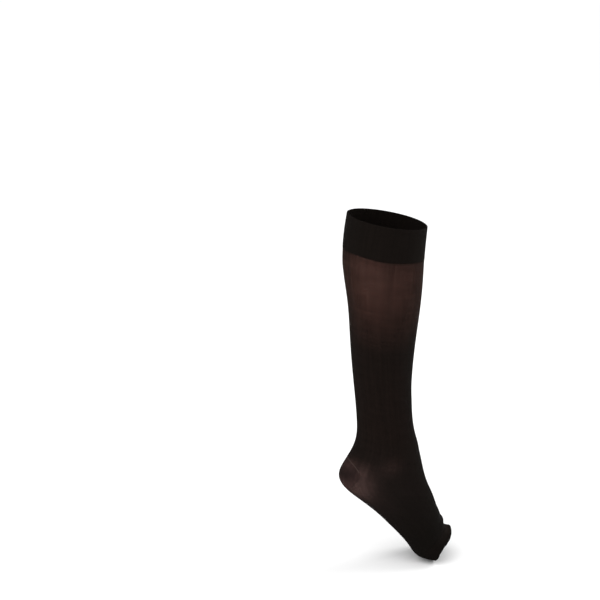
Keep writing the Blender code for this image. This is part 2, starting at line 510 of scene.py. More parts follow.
def close_rows(lengths: Array, longest: float, near: Sequence[float]) -> Array:
    """Depths of rows across a strip, close together along both of its edges.

    Args:
        lengths: the strip's length at each column.
        longest: the longest step between rows.
        near: the depths of the close rows, from the edge inwards.

    Returns:
        The depths, as rows of columns.
    """
    reach = near[-1]
    narrow = np.minimum(1.0, lengths / (NARROW_STRIP * reach))
    edge = np.array(near)[:, None] * narrow
    count = max(1, math.ceil(float((lengths - 2 * reach).max()) / longest))
    share = np.linspace(0.0, 1.0, count + 1)[1:-1, None]
    body = edge[-1] + share * (lengths - 2 * edge[-1])
    return np.concatenate([edge, body, (lengths - edge)[::-1]])


class ClothMesh:
    """Gathers a wall's points and faces, and makes its object.

    Each outer face has a twin on the inside, and every free edge of the outer faces gets a rim, so
    the wall is closed.
    """

    def __init__(self, form: Form, sheerness: Sheerness) -> None:
        """Starts with no points and no faces."""
        self.form = form
        self.sheerness = sheerness
        self.outer: list[Array] = []
        self.inner: list[Array] = []
        self.places: list[Array] = []
        self.quads: list[Array] = []
        self.count = 0

    def add_points(self, wall: Wall, start: Array | float = 0.0) -> Array:
        """Adds a wall's points.

        Args:
            wall: the wall, as rows of columns.
            start: how far down the cloth its first row lies, for the knit map.

        Returns:
            The points' numbers, row by row.
        """
        outer = self.raised(wall.turns, wall.outer_stations, wall.outer_heights)
        inner = self.raised(wall.turns, wall.inner_stations, wall.inner_heights)
        steps = np.linalg.norm(np.diff(outer, axis=0), axis=-1)
        down = start + np.concatenate([np.zeros_like(steps[:1]), np.cumsum(steps, axis=0)])
        places = np.stack([wall.turns, wall.outer_stations, down], axis=-1)
        self.outer.append(outer.reshape(-1, 3))
        self.inner.append(inner.reshape(-1, 3))
        self.places.append(places.reshape(-1, 3))
        numbers = self.count + np.arange(wall.turns.size).reshape(wall.turns.shape)
        self.count += wall.turns.size
        return numbers

    def raised(self, turns: Array, stations: Array, heights: Array) -> Array:
        """Points at heights out of the form."""
        return self.form.points(turns, stations) + heights[..., None] * self.form.normals(turns, stations)

    def down_the_cloth(self, numbers: Array) -> Array:
        """How far down the cloth these points lie."""
        return np.concatenate(self.places)[numbers, 2]

    def add_quads(self, numbers: Array, tube: bool) -> None:
        """Joins rows of points with faces, whose outsides look out of the form.

        Args:
            numbers: the points' numbers, row by row.
            tube: whether the last column joins the first.
        """
        left = numbers if tube else numbers[:, :-1]
        right = np.roll(numbers, -1, axis=1) if tube else numbers[:, 1:]
        corners = [left[:-1], right[:-1], right[1:], left[1:]]
        self.quads.append(np.stack(corners, axis=-1).reshape(-1, 4))

    def rims(self, quads: Array) -> Array:
        """Joins the outer to the inner points along the free edges.

        Args:
            quads: the outer faces.

        Returns:
            The rims' faces.
        """
        starts = quads.reshape(-1)
        ends = np.roll(quads, -1, axis=1).reshape(-1)
        forward = starts * self.count + ends
        free = ~np.isin(forward, ends * self.count + starts)
        starts, ends = starts[free], ends[free]
        return np.stack([ends, starts, starts + self.count, ends + self.count], axis=1)

    def make(self, name: str, materials: Sequence[bpy.types.Material]) -> bpy.types.Object:
        """Makes the object.

        Args:
            name: its name.
            materials: the material for close knit and, where there is a second, for sheer knit.

        Returns:
            The new object, at the origin.
        """
        quads = np.concatenate(self.quads)
        places = np.concatenate(self.places)
        # The inner faces come first, so that a viewer that draws in order lays the outside over them.
        faces = np.concatenate([quads[:, ::-1] + self.count, self.rims(quads), quads])
        places = np.concatenate([places, places])
        points = np.concatenate(self.outer + self.inner) * MM
        mesh = bpy.data.meshes.new(name)
        mesh.from_pydata(points, [], faces.tolist())
        self.lay_knit_map(mesh, faces, places)
        sheer = self.sheerness.at(places[:, 0], places[:, 1])
        mesh.attributes.new(SHEERNESS, "FLOAT", "POINT").data.foreach_set("value", sheer)
        for material in materials:
            mesh.materials.append(material)
        if len(materials) > 1:
            mesh.polygons.foreach_set("material_index", (sheer[faces].max(axis=1) > 0).astype(np.int32))
        mesh.shade_smooth()
        mesh.set_sharp_from_angle(angle=SHARP_EDGE)
        mesh.validate()
        return new_object(name, mesh)

    def lay_knit_map(self, mesh: bpy.types.Mesh, faces: Array, places: Array) -> None:
        """Gives the mesh its knit map: a share of the way round the leg, and metres down the cloth.

        Args:
            mesh: the mesh.
            faces: its faces.
            places: its points' turns, stations and lengths down the cloth.
        """
        round_the_leg = (places[:, 0] + math.pi) % FULL_TURN / FULL_TURN
        across = round_the_leg[faces]
        across[(across < 0.5) & (across.max(axis=1, keepdims=True) - across > 0.5)] += 1.0
        down = places[:, 2][faces] * MM
        corners = np.stack([across, down], axis=-1).reshape(-1)
        mesh.uv_layers.new(name=KNIT_MAP).uv.foreach_set("vector", corners)


# ------------------------------------------------------------------------------------- node graphs


class Graph:
    """Adds nodes to one node tree and links them."""

    def __init__(self, tree: bpy.types.NodeTree) -> None:
        """Works on a tree as it stands."""
        self.tree = tree

    def add(self, kind: str, inputs: Inputs | None = None, **settings: object) -> bpy.types.Node:
        """Adds a node.

        Args:
            kind: the node's type.
            inputs: links or plain values for its inputs, by their names or numbers.
            settings: its other settings, by name.

        Returns:
            The new node.
        """
        node = self.tree.nodes.new(kind)
        for name, value in settings.items():
            setattr(node, name, value)
        self.fill(node, inputs or {})
        return node

    def fill(self, node: bpy.types.Node, inputs: Inputs) -> None:
        """Gives a node's inputs their links or plain values."""
        for key, value in inputs.items():
            self.put(node.inputs[key], value)

    def put(self, target: Socket, value: Value) -> None:
        """Links a socket to an input, or sets a plain value on it.

        Args:
            target: the input.
            value: the socket or the value.
        """
        if isinstance(value, bpy.types.NodeSocket):
            self.tree.links.new(value, target)
        else:
            target.default_value = value

    def sum(self, operation: str, *values: Socket | float, clamp: bool = False) -> Socket:
        """Adds a Math node.

        Args:
            operation: the node's operation.
            values: its inputs, in order.
            clamp: whether the result stays between 0 and 1.

        Returns:
            The result's socket.
        """
        inputs = dict(enumerate(values))
        return self.add("ShaderNodeMath", inputs, operation=operation, use_clamp=clamp).outputs[0]

    def mix(self, factor: Socket, a: Value, b: Value) -> Socket:
        """Mixes two colours.

        Args:
            factor: 0 for the first colour and 1 for the second.
            a: the first colour.
            b: the second colour.

        Returns:
            The mixed colour's socket.
        """
        node = self.add("ShaderNodeMix", {"Factor": factor}, data_type="RGBA")
        for name, value in (("A", a), ("B", b)):
            self.put(next(s for s in node.inputs if s.name == name and s.type == "RGBA"), value)
        return next(s for s in node.outputs if s.type == "RGBA")

    def range(self, value: Socket, low: float, high: float, to_low: float, to_high: float) -> Socket:
        """A value carried from one range to another, smoothly and within its ends."""
        inputs = dict(enumerate((value, low, high, to_low, to_high)))
        return self.add("ShaderNodeMapRange", inputs, interpolation_type="SMOOTHSTEP").outputs[0]

    def split(self, vector: Socket) -> bpy.types.NodeOutputs:
        """A vector's parts, by axis."""
        return self.add("ShaderNodeSeparateXYZ", {0: vector}).outputs

    def vector(self, **parts: Socket | float) -> Socket:
        """A vector of the parts that are given, by axis, and 0 on the other axes."""
        return self.add("ShaderNodeCombineXYZ", parts).outputs[0]

    def noise(self, where: Socket, scale: float) -> Socket:
        """Soft noise from 0 to 1, in two layers."""
        return self.add("ShaderNodeTexNoise", {"Vector": where, "Scale": scale, "Detail": 2.0}).outputs["Fac"]

    def bump(self, height: Socket, relief: float) -> Socket:
        """The normal of a surface that rises with a height, by its relief in millimetres."""
        return self.add("ShaderNodeBump", {"Height": height, "Distance": relief * MM}).outputs["Normal"]

    def group(self, tree: bpy.types.NodeTree, **inputs: Value) -> bpy.types.NodeOutputs:
        """The outputs of a shared group that is placed with its own values."""
        return self.add("ShaderNodeGroup", inputs, node_tree=tree).outputs


def node_group(
    name: str, kind: str, inputs: dict[str, str], outputs: dict[str, str]
) -> tuple[Graph, bpy.types.NodeOutputs, bpy.types.NodeInputs]:
    """Makes an empty node group with named inputs and outputs.

    Args:
        name: the group's name.
        kind: the group's type.
        inputs: the inputs' kinds of value, by name.
        outputs: the outputs' kinds of value, by name.

    Returns:
        The group's graph, the sockets that its inputs come from and those that its outputs go to.
    """
    tree = bpy.data.node_groups.new(name, kind)
    for in_out, sockets in (("INPUT", inputs), ("OUTPUT", outputs)):
        for socket, value in sockets.items():
            tree.interface.new_socket(socket, in_out=in_out, socket_type=f"NodeSocket{value}")
    graph = Graph(tree)
    return graph, graph.add("NodeGroupInput").outputs, graph.add("NodeGroupOutput").inputs


def new_material(name: str) -> tuple[bpy.types.Material, Graph, bpy.types.Node]:
    """Makes a material.

    Args:
        name: its name.

    Returns:
        The material, its graph and its surface shader.
    """
    material = bpy.data.materials.new(name)
    material.use_nodes = True
    return material, Graph(material.node_tree), material.node_tree.nodes["Principled BSDF"]


# How far a loop's legs slant, in courses for each wale that they cross.
LEG_SLANT = 1.3
# A leg's height and the space beside it along a course: how far they vary, and their mean.
LEG_HEIGHT = (0.25, 0.75)
LEG_SPACE = (-0.35, 0.65)


def loops_group() -> bpy.types.NodeTree:
    """Makes the group that draws knitted loops: two legs to a stitch, in a V, wale by wale.

    Returns:
        The group. Its Height is the yarn's height and its Gap is the open space between the loops.
    """
    inputs = {"Vector": "Vector", "Wales": "Float", "Courses": "Float"}
    outputs = {"Height": "Float", "Gap": "Float"}
    graph, given, result = node_group("knitted_loops", "ShaderNodeTree", inputs, outputs)
    place = graph.split(given["Vector"])
    wale = graph.sum("MULTIPLY", place["X"], given["Wales"])
    course = graph.sum("MULTIPLY", place["Y"], given["Courses"])
    aside = graph.sum("ABSOLUTE", graph.sum("SUBTRACT", graph.sum("FRACT", wale), 0.5))
    from_leg = graph.sum("ABSOLUTE", graph.sum("SUBTRACT", graph.sum("MULTIPLY", aside, 4.0), 1.0))
    leg = graph.range(from_leg, 0.0, 1.0, 1.0, 0.0)
    slanted = graph.sum("MULTIPLY_ADD", aside, -LEG_SLANT, course)
    wave = graph.sum("COSINE", graph.sum("MULTIPLY", slanted, FULL_TURN))
    loop = graph.sum("MULTIPLY_ADD", wave, *LEG_HEIGHT)
    graph.put(result["Height"], graph.sum("MULTIPLY", leg, loop))
    between = graph.sum("MULTIPLY_ADD", wave, *LEG_SPACE)
    graph.put(result["Gap"], graph.sum("MULTIPLY", graph.sum("SUBTRACT", 1.0, leg), between))
    return graph.tree


# The noise's values that make a streak's weakest and strongest places.
STREAK_NOISE = (0.25, 0.75)


def streaks_group() -> bpy.types.NodeTree:
    """Makes the group that draws streaks, where yarn runs a little thicker or thinner.

    Returns:
        The group. Its Count is the number of streaks round the leg, and its Length how long they are
        down the cloth, in metres.
    """
    inputs = {"Vector": "Vector", "Count": "Float", "Length": "Float"}
    graph, given, result = node_group("wale_streaks", "ShaderNodeTree", inputs, {"Streak": "Float"})
    place = graph.split(given["Vector"])
    turn = graph.sum("MULTIPLY", place["X"], FULL_TURN)
    radius = graph.sum("DIVIDE", given["Count"], FULL_TURN)
    across = graph.vector(
        X=graph.sum("MULTIPLY", graph.sum("COSINE", turn), radius),
        Y=graph.sum("MULTIPLY", graph.sum("SINE", turn), radius),
        Z=graph.sum("DIVIDE", place["Y"], given["Length"]),
    )
    graph.put(result["Streak"], graph.range(graph.noise(across, 1.0), *STREAK_NOISE, 0.0, 1.0))
    return graph.tree


@dataclass(frozen=True)
class ShaderGroups:
    """The node groups that the materials share, each made once."""

    loops: bpy.types.NodeTree = field(default_factory=loops_group)
    streaks: bpy.types.NodeTree = field(default_factory=streaks_group)


# ---------------------------------------------------------------------------------------- finishes


def shades(colour: Colour, by: float) -> list[tuple[float, ...]]:
    """A colour made darker and made lighter by a share of itself, each with its alpha."""
    return [(*(part * (1 + change) for part in colour), 1.0) for change in (-by, by)]


@dataclass(frozen=True)
class KnitFinish:
    """One kind of knit.

    Yarn is its colour where it is close, and thin what shows between its loops where it is drawn
    sheer, both linear. Towards the heel, thin may change to a lighter, greyer look that paints part of
    the heel's highlight. Openness is the share of light that one face of it lets through at its
    sheerest. Wales are counted round the leg and courses to the metre, and relief is the loops' height
    in millimetres. Loops is how much the yarn is painted lighter on a loop's top and darker in the
    space between loops, a painted shade of the loops' relief. Streaks and rings are how much its tone
    varies along the wales and along the courses.
    """

    name: str
    yarn: Colour
    thin: Colour
    openness: float
    courses: float
    relief: float
    loops: float
    streaks: float
    rings: float
    roughness: float
    sheen: float
    wales: float = 288.0
    heel_thin_and_highlight: Colour | None = None

    # How many streaks and rings there are round the leg, and how long each is in metres.
    STREAK_PATTERN = (110.0, 0.08)
    RING_PATTERN = (6.0, 0.0032)
    # How much the thin look shows on a loop itself. Between the loops it shows in full.
    THINNEST_GAP = 0.35
    # How uneven close knit is beside sheer knit, and the sheerness from which it is fully uneven.
    CLOSE_UNEVENNESS = 0.6
    FULLY_UNEVEN = 0.3
    # Where the cloth's look changes to the heel's, in metres down the cloth.
    HEEL_CHANGE = (0.26, 0.34)
    HEEL_UNEVENNESS = 0.6
    # How much smoother the top of a loop is than the space between loops.
    LOOP_GLOSS = 0.12
    SPECULAR = 0.012
    SHEEN_ROUGHNESS = 0.5

    def material(self, groups: ShaderGroups) -> bpy.types.Material:
        """Makes the knit's material.

        Args:
            groups: the node groups that materials share.

        Returns:
            The new material.
        """
        material, graph, surface = new_material(self.name)
        material.use_backface_culling = True
        where = graph.add("ShaderNodeUVMap", uv_map=KNIT_MAP).outputs["UV"]
        sheer = graph.add("ShaderNodeAttribute", attribute_name=SHEERNESS).outputs["Fac"]
        loops = graph.group(groups.loops, Vector=where, Wales=self.wales, Courses=self.courses)
        # 0 down to the ankle, 1 from the heel on, and a smooth step between.
        heelwards = graph.range(graph.split(where)["Y"], *self.HEEL_CHANGE, 0.0, 1.0)
        shade = self.shade(graph, groups, where, sheer, heelwards)
        between = graph.sum("MULTIPLY_ADD", loops["Gap"], 1 - self.THINNEST_GAP, self.THINNEST_GAP)
        shaded_sheer = graph.sum("MULTIPLY", sheer, shade)
        thinness = graph.sum("MULTIPLY", shaded_sheer, between, clamp=True)
        # The yarn is painted lighter on the loops' tops and darker between them, a painted shade of the
        # loops' relief, varied by the streaks and rings.
        lit = graph.sum("MULTIPLY", loops["Height"], shade, clamp=True)
        yarn = graph.mix(lit, *shades(self.yarn, self.loops))
        thin = (*self.thin, 1.0)
        # Towards the heel the see-through look turns lighter and greyer, which paints part of the heel's
        # highlight.
        if self.heel_thin_and_highlight is not None:
            thin = graph.mix(heelwards, thin, (*self.heel_thin_and_highlight, 1.0))
        if self.openness > 0:
            self.let_light_through(graph, surface, shaded_sheer)
        roughest = self.roughness + self.LOOP_GLOSS / 2
        graph.fill(surface, {
            "Base Color": graph.mix(thinness, yarn, thin),
            "Roughness": graph.sum("MULTIPLY_ADD", loops["Height"], -self.LOOP_GLOSS, roughest),
            "Normal": graph.bump(loops["Height"], self.relief),
            "Specular IOR Level": self.SPECULAR,
            "Sheen Weight": self.sheen,
            "Sheen Roughness": self.SHEEN_ROUGHNESS,
        })
        return material

    def shade(
        self, graph: Graph, groups: ShaderGroups, where: Socket, sheer: Socket, heelwards: Socket
    ) -> Socket:
        """Draws how thin the knit is from place to place beside its mean of 1.

        Args:
            graph: the material's graph.
            groups: the node groups that materials share.
            where: the knit map.
            sheer: the sheerness, because uneven yarn shows the more, the sheerer the knit is.
            heelwards: 1 at the heel and the foot, where the yarn runs more evenly, and 0 above.

        Returns:
            The shade.
        """
        along, round_it = (
            graph.group(groups.streaks, Vector=where, Count=count, Length=length)["Streak"]
            for count, length in (self.STREAK_PATTERN, self.RING_PATTERN)
        )
        with_streaks = graph.sum("MULTIPLY_ADD", along, self.streaks, -(self.streaks + self.rings) / 2)
        uneven = graph.sum("MULTIPLY_ADD", round_it, self.rings, with_streaks)
        showing = graph.range(sheer, 0.0, self.FULLY_UNEVEN, self.CLOSE_UNEVENNESS, 1.0)
        at_heel = graph.sum("MULTIPLY_ADD", heelwards, self.HEEL_UNEVENNESS - 1, 1.0)
        return graph.sum("MULTIPLY_ADD", uneven, graph.sum("MULTIPLY", showing, at_heel), 1.0)

    def let_light_through(self, graph: Graph, surface: bpy.types.Node, thinness: Socket) -> None:
        """Opens the knit where it is sheer, less so where it is seen along its surface.

        Args:
            graph: the material's graph.
            surface: its surface shader.
            thinness: how thin the knit is.
        """
        facing = graph.add("ShaderNodeLayerWeight", {"Blend": 0.5})
        straight = graph.sum("SUBTRACT", 1.0, facing.outputs["Facing"])
        through = graph.sum("MULTIPLY", thinness, graph.sum("MULTIPLY", straight, self.openness))
        graph.put(surface.inputs["Alpha"], graph.sum("SUBTRACT", 1.0, through, clamp=True))


@dataclass(frozen=True)
class ThreadFinish:
    """The finish of a row of stitches: a colour that varies a little from stitch to stitch."""

    name: str
    colour: Colour
    variation: float
    roughness: float

    GRAIN_SCALE = 900.0
    RELIEF = 0.05
    SPECULAR = 0.03

    def material(self) -> bpy.types.Material:
        """Makes the thread's material.

        Returns:
            The new material.
        """
        material, graph, surface = new_material(self.name)
        grain = graph.noise(graph.add("ShaderNodeTexCoord").outputs["Object"], self.GRAIN_SCALE)
        graph.fill(surface, {
            "Base Color": graph.mix(grain, *shades(self.colour, self.variation)),
            "Normal": graph.bump(grain, self.RELIEF),
            "Roughness": self.roughness,
            "Specular IOR Level": self.SPECULAR,
        })
        return material


BAND_KNIT = KnitFinish(
    name="band_knit", yarn=(0.0071, 0.0053, 0.0043), thin=(0.0100, 0.0074, 0.0062), openness=0.0,
    courses=1250, relief=0.30, loops=0.75, streaks=0.35, rings=0.10, roughness=0.82, sheen=0.004,
)
CLOSE_KNIT = KnitFinish(
    name="close_knit", yarn=(0.0068, 0.0055, 0.0047), thin=(0.097, 0.0445, 0.0345), openness=0.0,
    courses=1100, relief=0.25, loops=0.55, streaks=0.55, rings=0.46, roughness=0.78, sheen=0.002,
)
# The sheer knit turns lighter and greyer towards the heel, partly a painted highlight.
SHEER_KNIT = replace(CLOSE_KNIT, name="sheer_knit", openness=0.26, heel_thin_and_highlight=(0.140, 0.0820, 0.0740))
HEEL_KNIT = KnitFinish(
    name="heel_knit", yarn=(0.0120, 0.0077, 0.0072), thin=(0.101, 0.0560, 0.0510), openness=0.10,
    courses=1400, relief=0.28, loops=0.60, streaks=0.30, rings=0.20, roughness=0.80, sheen=0.002,
)
TOE_KNIT = KnitFinish(
    name="toe_knit", yarn=(0.0084, 0.0064, 0.0055), thin=(0.0215, 0.0135, 0.0100), openness=0.0,
    courses=1350, relief=0.30, loops=0.75, streaks=0.30, rings=0.10, roughness=0.82, sheen=0.003,
)
BLACK_THREAD = ThreadFinish("black_thread", (0.0060, 0.0047, 0.0040), 0.35, 0.8)
GORE_THREAD = ThreadFinish("gore_thread", (0.075, 0.055, 0.048), 0.30, 0.7)


# ---------------------------------------------------------------------------------------- stitches


class StitchKind(Enum):
    """The shapes of stitch."""

    CHAIN = "chain"
    DASH = "dash"


@dataclass(frozen=True)
class StitchRow:
    """A row of stitches along a seam, in millimetres. Slant is in degrees from the seam."""

    name: str
    kind: StitchKind
    pitch: float
    length: float
    width: float
    height: float
    slant: float
    spread: float
    thread: ThreadFinish

    SEGMENTS = 8
    RINGS = 5

    def tree(self, material: bpy.types.Material) -> bpy.types.NodeTree:
        """Makes the Geometry Nodes tree that lays the stitches along a path.

        Args:
            material: the thread's material.

        Returns:
            The tree, whose inputs are the sizes in metres.
        """
        inputs = {"Path": "Geometry", **dict.fromkeys(self.inputs(), "Float")}
        graph, given, result = node_group(self.name, "GeometryNodeTree", inputs, {"Stitches": "Geometry"})
        joined = graph.add("GeometryNodeJoinGeometry")
        sides = (1.0, -1.0) if self.kind is StitchKind.CHAIN else (1.0,)
        for side in sides:
            graph.put(joined.inputs[0], self.leg(graph, given, side))
        path = graph.add("GeometryNodeMeshToCurve", {"Mesh": given["Path"]})
        along = {"Curve": path.outputs[0], "Length": given["Pitch"]}
        places = graph.add("GeometryNodeResampleCurve", along, mode="LENGTH")
        stitch = {"Points": places.outputs[0], "Instance": joined.outputs[0], "Rotation": self.turned(graph)}
        laid = graph.add("GeometryNodeInstanceOnPoints", stitch)
        real = graph.add("GeometryNodeRealizeInstances", {0: laid.outputs[0]})
        dressed = graph.add("GeometryNodeSetMaterial", {"Geometry": real.outputs[0], "Material": material})
        graph.put(result[0], dressed.outputs[0])
        return graph.tree

    def inputs(self) -> dict[str, float]:
        """Gives the tree's sizes.

        Returns:
            The sizes, by the names of the tree's inputs.
        """
        return {
            "Pitch": self.pitch * MM,
            "Length": self.length * MM,
            "Width": self.width * MM,
            "Height": self.height * MM,
            "Slant": math.radians(self.slant),
            "Spread": self.spread * MM,
        }

    def leg(self, graph: Graph, given: bpy.types.NodeOutputs, side: float) -> Socket:
        """Makes one leg of a stitch, as a small smooth bead beside the path.

        Args:
            graph: the tree's graph.
            given: the sockets that the tree's inputs come from.
            side: 1 for the leg on one side of the path, -1 for the other.

        Returns:
            The leg's geometry.
        """
        ball = {"Segments": self.SEGMENTS, "Rings": self.RINGS, "Radius": 0.5}
        bead = graph.add("GeometryNodeMeshUVSphere", ball)
        smooth_bead = graph.add("GeometryNodeSetShadeSmooth", {"Geometry": bead.outputs["Mesh"]})
        shaped = graph.add("GeometryNodeTransform", {
            "Geometry": smooth_bead.outputs[0],
            "Scale": graph.vector(X=given["Length"], Y=given["Width"], Z=given["Height"]),
            "Rotation": graph.vector(Z=graph.sum("MULTIPLY", given["Slant"], side)),
            "Translation": graph.vector(Y=graph.sum("MULTIPLY", given["Spread"], side / 2)),
        })
        return shaped.outputs[0]

    def turned(self, graph: Graph) -> Socket:
        """Lays a stitch flat on the cloth, along the path.

        Args:
            graph: the tree's graph.

        Returns:
            The stitch's rotation.
        """
        out = graph.add("GeometryNodeInputNamedAttribute", {"Name": OUTWARDS}, data_type="FLOAT_VECTOR")
        flat = {"Vector": out.outputs["Attribute"]}
        upright = graph.add("FunctionNodeAlignRotationToVector", flat, axis="Z")
        along = {"Rotation": upright.outputs[0], "Vector": graph.add("GeometryNodeInputTangent").outputs[0]}
        return graph.add("FunctionNodeAlignRotationToVector", along, axis="X", pivot_axis="Z").outputs[0]

    def lay(self, path: bpy.types.Object) -> bpy.types.Object:
        """Lays the stitches along a path.

        Args:
            path: an object of edges only, whose points hold the direction out of the cloth.

        Returns:
            The stitches, as a plain mesh. The path is removed.
        """
        material = self.thread.material()
        tree = self.tree(material)
        modifier = path.modifiers.new(self.name, "NODES")
        modifier.node_group = tree
        sizes = self.inputs()
        for item in tree.interface.items_tree:
            if item.name in sizes:
                modifier[item.identifier] = sizes[item.name]
        bpy.context.view_layer.update()
        evaluated = path.evaluated_get(bpy.context.evaluated_depsgraph_get())
        mesh = bpy.data.meshes.new_from_object(evaluated)
        mesh.name = self.name
        path.modifiers.remove(modifier)
        bpy.data.objects.remove(path, do_unlink=True)
        return new_object(self.name, mesh)


class Seam(NamedTuple):
    """A seam and the row of stitches along it.

    Its turns and stations are in order. Offset is how far out of the form it lies, in millimetres,
    and closed is whether its end joins its start.
    """

    row: StitchRow
    turns: Array
    stations: Array
    offset: float
    closed: bool

    def stitch(self, form: Form) -> bpy.types.Object:
        """Lays the stitches, on a path whose points hold the direction out of the cloth.

        Args:
            form: the stocking's form.

        Returns:
            The stitches.
        """
        out = form.normals(self.turns, self.stations)
        points = (form.points(self.turns, self.stations) + self.offset * out) * MM
        count = len(points)
        edges = [(i, (i + 1) % count) for i in range(count if self.closed else count - 1)]
        mesh = bpy.data.meshes.new("seam_path")
        mesh.from_pydata(points, edges, [])
        mesh.attributes.new(OUTWARDS, "FLOAT_VECTOR", "POINT").data.foreach_set("vector", out.reshape(-1))
        return self.row.lay(new_object("seam_path", mesh))


# ------------------------------------------------------------------------------------- the garment


@dataclass(frozen=True)
class Cut:
    """A piece's flat cut before it is worn, in metres, and its area where it isn't a rectangle."""

    width: float
    length: float
    area: float | None = None


@dataclass
class KnittedPart:
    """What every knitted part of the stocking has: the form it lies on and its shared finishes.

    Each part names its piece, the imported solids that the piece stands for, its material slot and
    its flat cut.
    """

    form: Form
    wedge: HeelWedge
    sheerness: Sheerness
    groups: ShaderGroups
    front_columns: int = 96
    heel_columns: int = 48

    NAME: ClassVar[str]
    NODES: ClassVar[tuple[str, ...]]
    SLOT: ClassVar[str]
    CUT: ClassVar[Cut]
    FINISHES: ClassVar[tuple[KnitFinish, ...]]

    def heel_turns(self) -> Array:
        """Spaces the columns across the heel, closest at the pocket's two points.

        Returns:
            The columns' turns.
        """
        point = self.wedge.POINT_TURN
        share = (1 - np.cos(np.linspace(0.0, math.pi, self.heel_columns + 1))) / 2
        return point + (FULL_TURN - 2 * point) * share

    def ring_turns(self) -> Array:
        """Spaces the columns all round the leg, from one of the pocket's points.

        Returns:
            The columns' turns.
        """
        point = self.wedge.POINT_TURN
        front = np.linspace(-point, point, self.front_columns + 1)
        return np.concatenate([front[:-1], self.heel_turns()[:-1]])

    def new_mesh(self) -> ClothMesh:
        """An empty cloth mesh on the form."""
        return ClothMesh(self.form, self.sheerness)

    def make_piece(self, mesh: ClothMesh, *seams: Seam) -> bpy.types.Object:
        """Makes the part's piece and its stitches, hangs them on the body and hides its imported solids.

        Args:
            mesh: the cloth.
            seams: the seams on it.

        Returns:
            The piece.
        """
        piece = mesh.make(self.NAME, [finish.material(self.groups) for finish in self.FINISHES])
        trims = [seam.stitch(self.form) for seam in seams]
        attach(piece, BODY)
        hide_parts(*self.NODES)
        for trim in trims:
            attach(trim, BODY)
        faces = len(piece.data.polygons)
        log.info("%s: %d faces, %d rows of stitches", piece.name, faces, len(trims))
        return piece


@dataclass
class FoldedBand(KnittedPart):
    """A band of one knit that is folded over at its free edge, with both its ends linked to the cloth.

    Base is the height of its inner layer's face, fold the outside radius of the fold and gap the
    space between the two layers. Over its last link_round the outer layer comes down by step to the
    cloth that it is linked to. Its stitches lie link_aside beyond its end and link_proud out of
    that cloth.
    """

    base: float = 0.0
    fold: float = 1.0
    gap: float = 0.1
    step: float = 0.3
    link_round: float = 1.0
    link_aside: float = 0.5
    link_proud: float = 0.1
    fold_steps: int = 10
    row: float = 2.1
    near_rows: tuple[float, ...] = (0.0, 0.25, 0.55, 1.0)

    LINK: ClassVar[StitchRow]

    def folded(self, turns: Array, edge: Array, foot: Array, way: int) -> Wall:
        """Folds the band as one wall, whose faces run round the fold.

        Args:
            turns: the columns' turns.
            edge: the stations of its free edge.
            foot: the stations of its linked ends.
            way: 1 where the linked ends lie further down the leg than the free edge, or else -1.

        Returns:
            The wall, with its rows in order down the outer layer.
        """
        depths = close_rows(np.abs(foot - edge) - self.fold, self.row, self.near_rows)
        crown = edge + way * self.fold
        layer = crown + way * depths
        bend = np.linspace(math.pi, 0.0, self.fold_steps + 1)[1:-1, None] + np.zeros_like(turns)
        middle = self.base + self.fold
        faces = []
        for radius in (self.fold, self.gap / 2):
            stations = np.concatenate([layer[::-1], crown - way * radius * np.sin(bend), layer])
            inside = np.full_like(layer, middle - radius)
            outside = np.full_like(layer, middle + radius)
            faces.append((stations, np.concatenate([inside, middle + radius * np.cos(bend), outside])))
        (outer_stations, outer_heights), (inner_stations, inner_heights) = faces
        fall = rounding(depths[-1] - depths, self.link_round) / self.link_round
        outer_heights[-len(depths) :] -= self.step * fall
        rings = np.broadcast_to(turns, outer_stations.shape)
        rows = (outer_stations, outer_heights, inner_stations, inner_heights)
        return Wall(rings, *(part[::way] for part in rows))

    def knit(self, edge: Array, foot: Array) -> bpy.types.Object:
        """Builds the band and its link stitches.

        Args:
            edge: the stations of its free edge, at the columns' turns.
            foot: the stations of its linked ends.

        Returns:
            The band.
        """
        ring = self.ring_turns()
        way = 1 if foot[0] > edge[0] else -1
        mesh = self.new_mesh()
        mesh.add_quads(mesh.add_points(self.folded(ring, edge, foot, way)), tube=True)
        stations, offset = foot + way * self.link_aside, LegAndFoot.outer_face + self.link_proud
        return self.make_piece(mesh, Seam(self.LINK, ring, stations, offset, closed=True))


@dataclass
class TopBand(FoldedBand):
    """The doubled top band, and the stitches that link it to the leg."""

    top_drop: Ripple = Ripple(((-150, 0.3), (-70, 0.8), (0, 1.2), (60, 1.3), (120, 0.9), (180, 0.0)))
    foot_rise: Ripple = Ripple(((-160, 3.8), (-70, 0.6), (0, 0.0), (75, 0.0), (135, 3.4)))

    NAME = "top_band_knit"
    NODES = ("top_band",)
    SLOT = "band_knit"
    CUT = Cut(0.262, 0.100)
    FINISHES = (BAND_KNIT,)
    LINK = StitchRow(
        name="band_link_stitches", kind=StitchKind.CHAIN, pitch=1.9, length=1.5, width=0.45, height=0.4,
        slant=24.0, spread=0.55, thread=BLACK_THREAD,
    )

    def build(self) -> bpy.types.Object:
        """Builds the band between its dropped edge and its raised foot."""
        ring = self.ring_turns()
        return self.knit(self.top_drop.at(ring), self.form.station_of("band_end") - self.foot_rise.at(ring))


